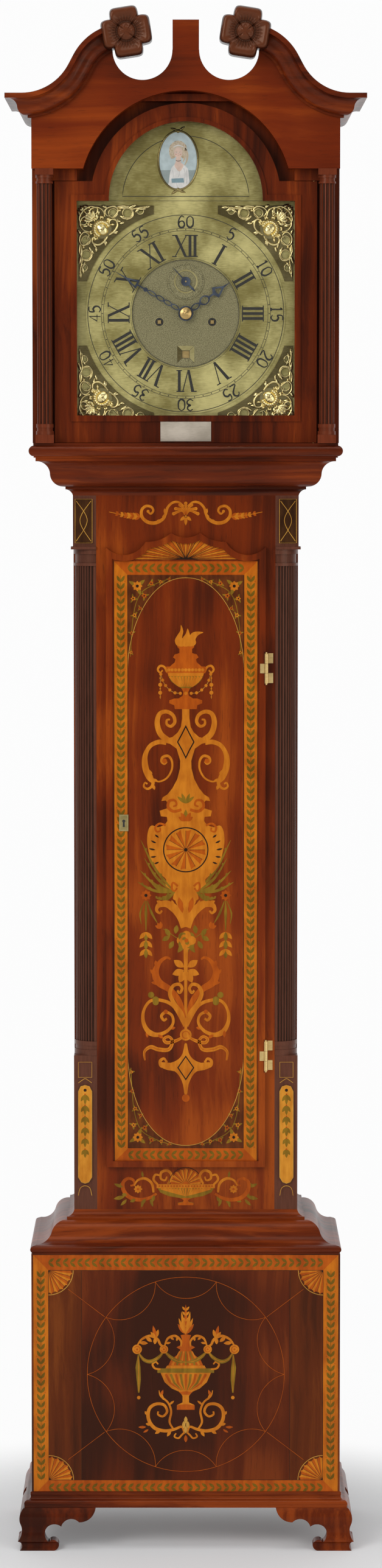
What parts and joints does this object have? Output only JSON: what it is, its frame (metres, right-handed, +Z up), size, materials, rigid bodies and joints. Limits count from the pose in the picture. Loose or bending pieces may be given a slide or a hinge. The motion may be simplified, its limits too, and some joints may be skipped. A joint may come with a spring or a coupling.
{
  "type": "longcase clock",
  "caption": "Tall mahogany longcase clock with a swan neck hood, fluted columns, inlaid door and base, arched brass dial, opening doors, falling weights and a seconds pendulum.",
  "frame": {"origin": "on the floor under the middle of the clock's overall width and depth", "axes": "+Z up, X across the front to the viewer's right, the dial faces -Y"},
  "size_m": [0.512, 0.272, 2.2165],
  "materials": {
    "mahogany": "polished reddish mahogany with satinwood inlay",
    "oak": "plain oak, waxed",
    "dial_brass": "matted and engraved brass",
    "brass": "polished brass",
    "steel": "plain polished steel",
    "blued_steel": "blued steel",
    "glass": "clear flat glass",
    "enamel": "painted oval miniature",
    "bell_metal": "turned bell metal",
    "gut": "twisted gut line",
    "gilt": "gilded brass",
    "silvered": "silvered brass"
  },
  "bodies": {
    "case": {"bracket_feet": "mahogany", "base_carcass": "mahogany", "case_mouldings": "mahogany", "backboard": "oak", "trunk_sides": "mahogany", "trunk_front_frame": "mahogany", "quarter_columns": "mahogany", "case_hinge_knuckles": "brass", "seatboard": "oak", "dial_plate": "dial_brass", "dial_rings": "dial_brass", "spandrels": "gilt", "arch_medallion": "enamel", "movement_plates": "brass", "pillars_and_dial_feet": "brass", "bell": "bell_metal", "line_ends": "gut"},
    "trunk_door": {"trunk_door": "mahogany", "door_hinge_knuckles": "brass", "door_lock": "brass"},
    "lock_bolt": {"lock_bolt": "steel"},
    "hood": {"hood_base_moulding": "mahogany", "hood_carcass": "mahogany", "tympanum_board": "mahogany", "cornice_mouldings": "mahogany", "rosettes": "mahogany", "hood_columns": "mahogany"},
    "hood_door": {"hood_door_frame": "mahogany", "hood_door_glass": "glass", "hood_door_pins": "brass", "plaque": "brass"},
    "centre": {"centre_wheel": "brass", "minute_hand": "blued_steel"},
    "going_great": {"going_great_wheel": "brass"},
    "going_barrel": {"going_barrel": "brass"},
    "third": {"third_wheel": "brass"},
    "escape": {"escape_wheel": "brass", "seconds_hand": "blued_steel"},
    "minute_wheel": {"minute_wheel": "brass"},
    "hour": {"hour_wheel": "brass", "hour_hand": "blued_steel"},
    "date_ring": {"date_ring": "silvered"},
    "strike_great": {"strike_great_wheel": "brass"},
    "strike_barrel": {"strike_barrel": "brass"},
    "pin_wheel": {"pin_wheel": "brass"},
    "gathering": {"gathering_wheel": "brass"},
    "warning": {"warning_wheel": "brass"},
    "fly": {"fly": "brass"},
    "hammer": {"hammer": "steel"},
    "anchor": {"anchor": "steel"},
    "pendulum": {"pendulum_rod": "steel", "pendulum_bob": "brass"},
    "rating_nut": {"rating_nut": "brass"},
    "going_weight": {"going_weight": "brass", "going_line": "gut"},
    "strike_weight": {"strike_weight": "brass", "strike_line": "gut"},
    "going_pulley": {"going_pulley": "brass"},
    "strike_pulley": {"strike_pulley": "brass"}
  },
  "joints": [
    {"name": "hood_slide", "type": "slide", "parent": "case", "child": "hood", "axis": [0, -1, 0], "range_m": [0, 0.3]},
    {"name": "hood_door_hinge", "type": "hinge", "parent": "hood", "child": "hood_door", "pos_m": [0.1835, -0.064, 1.79], "axis": [0, 0, 1], "range_deg": [0, 90]},
    {"name": "trunk_door_hinge", "type": "hinge", "parent": "case", "child": "trunk_door", "pos_m": [0.1165, -0.0463, 1], "axis": [0, 0, 1], "range_deg": [0, 100]},
    {"name": "lock_bolt_slide", "type": "slide", "parent": "trunk_door", "child": "lock_bolt", "axis": [-1, 0, 0], "range_m": [0, 0.007]},
    {"name": "centre_spin", "type": "hinge", "parent": "case", "child": "centre", "pos_m": [0, 0, 1.7898], "axis": [0, 1, 0], "continuous": true},
    {"name": "going_great_spin", "type": "hinge", "parent": "case", "child": "going_great", "pos_m": [0.038, 0, 1.7778], "axis": [0, 1, 0], "continuous": true},
    {"name": "third_spin", "type": "hinge", "parent": "case", "child": "third", "pos_m": [0.01436, 0, 1.81488], "axis": [0, 1, 0], "continuous": true},
    {"name": "escape_spin", "type": "hinge", "parent": "case", "child": "escape", "pos_m": [0, 0, 1.8356], "axis": [0, 1, 0], "continuous": true},
    {"name": "minute_wheel_spin", "type": "hinge", "parent": "case", "child": "minute_wheel", "pos_m": [-0.02, 0, 1.76908], "axis": [0, 1, 0], "continuous": true},
    {"name": "hour_spin", "type": "hinge", "parent": "case", "child": "hour", "pos_m": [0, 0, 1.7898], "axis": [0, 1, 0], "continuous": true},
    {"name": "date_ring_spin", "type": "hinge", "parent": "case", "child": "date_ring", "pos_m": [0, 0, 1.7898], "axis": [0, 1, 0], "continuous": true},
    {"name": "gathering_spin", "type": "hinge", "parent": "case", "child": "gathering", "pos_m": [-0.03, 0, 1.8441], "axis": [0, 1, 0], "continuous": true},
    {"name": "pin_wheel_spin", "type": "hinge", "parent": "case", "child": "pin_wheel", "pos_m": [-0.036, 0, 1.8178], "axis": [0, 1, 0], "continuous": true},
    {"name": "strike_great_spin", "type": "hinge", "parent": "case", "child": "strike_great", "pos_m": [-0.038, 0, 1.7778], "axis": [0, 1, 0], "continuous": true},
    {"name": "warning_spin", "type": "hinge", "parent": "case", "child": "warning", "pos_m": [-0.045, 0, 1.8602], "axis": [0, 1, 0], "continuous": true},
    {"name": "fly_spin", "type": "hinge", "parent": "case", "child": "fly", "pos_m": [-0.0315, 0, 1.8714], "axis": [0, 1, 0], "continuous": true},
    {"name": "hammer_swing", "type": "hinge", "parent": "case", "child": "hammer", "pos_m": [-0.063, 0, 1.7978], "axis": [0, 1, 0], "range_deg": [-14, 0]},
    {"name": "pendulum_swing", "type": "hinge", "parent": "case", "child": "pendulum", "pos_m": [0, 0.085, 1.8636], "axis": [0, 1, 0], "range_deg": [-2.5, 2.5]},
    {"name": "anchor_swing", "type": "hinge", "parent": "case", "child": "anchor", "pos_m": [0, 0.085, 1.8636], "axis": [0, 1, 0], "range_deg": [-2.5, 2.5]},
    {"name": "rating_nut_spin", "type": "hinge", "parent": "pendulum", "child": "rating_nut", "pos_m": [0, 0.085, 0.7786], "axis": [0, 0, 1], "continuous": true},
    {"name": "going_weight_drop", "type": "slide", "parent": "case", "child": "going_weight", "axis": [0, 0, -1], "range_m": [0, 1.08], "deforming": ["going_line"]},
    {"name": "going_barrel_spin", "type": "hinge", "parent": "case", "child": "going_barrel", "pos_m": [0.038, 0.022, 1.7778], "axis": [0, 1, 0], "continuous": true},
    {"name": "going_pulley_spin", "type": "hinge", "parent": "going_weight", "child": "going_pulley", "pos_m": [0.038, 0.022, 1.6398], "axis": [0, 1, 0], "continuous": true},
    {"name": "strike_weight_drop", "type": "slide", "parent": "case", "child": "strike_weight", "axis": [0, 0, -1], "range_m": [0, 1.08], "deforming": ["strike_line"]},
    {"name": "strike_barrel_spin", "type": "hinge", "parent": "case", "child": "strike_barrel", "pos_m": [-0.038, 0.022, 1.7778], "axis": [0, 1, 0], "continuous": true},
    {"name": "strike_pulley_spin", "type": "hinge", "parent": "strike_weight", "child": "strike_pulley", "pos_m": [-0.038, 0.022, 1.6398], "axis": [0, 1, 0], "continuous": true}
  ],
  "couplings": [
    {"joint": "going_great_spin", "follows": "centre_spin", "ratio": -0.083333},
    {"joint": "third_spin", "follows": "centre_spin", "ratio": -7.5},
    {"joint": "escape_spin", "follows": "centre_spin", "ratio": 60},
    {"joint": "minute_wheel_spin", "follows": "centre_spin", "ratio": -1},
    {"joint": "hour_spin", "follows": "centre_spin", "ratio": 0.083333},
    {"joint": "date_ring_spin", "follows": "centre_spin", "ratio": -0.0013441},
    {"joint": "pin_wheel_spin", "follows": "gathering_spin", "ratio": -0.125},
    {"joint": "strike_great_spin", "follows": "gathering_spin", "ratio": 0.011905},
    {"joint": "warning_spin", "follows": "gathering_spin", "ratio": -8},
    {"joint": "fly_spin", "follows": "gathering_spin", "ratio": 64},
    {"joint": "anchor_swing", "follows": "pendulum_swing", "ratio": 1},
    {"joint": "going_barrel_spin", "follows": "going_weight_drop", "rad_per_m": -87.719},
    {"joint": "going_pulley_spin", "follows": "going_weight_drop", "rad_per_m": -43.86},
    {"joint": "strike_barrel_spin", "follows": "strike_weight_drop", "rad_per_m": -87.719},
    {"joint": "strike_pulley_spin", "follows": "strike_weight_drop", "rad_per_m": -43.86}
  ]
}
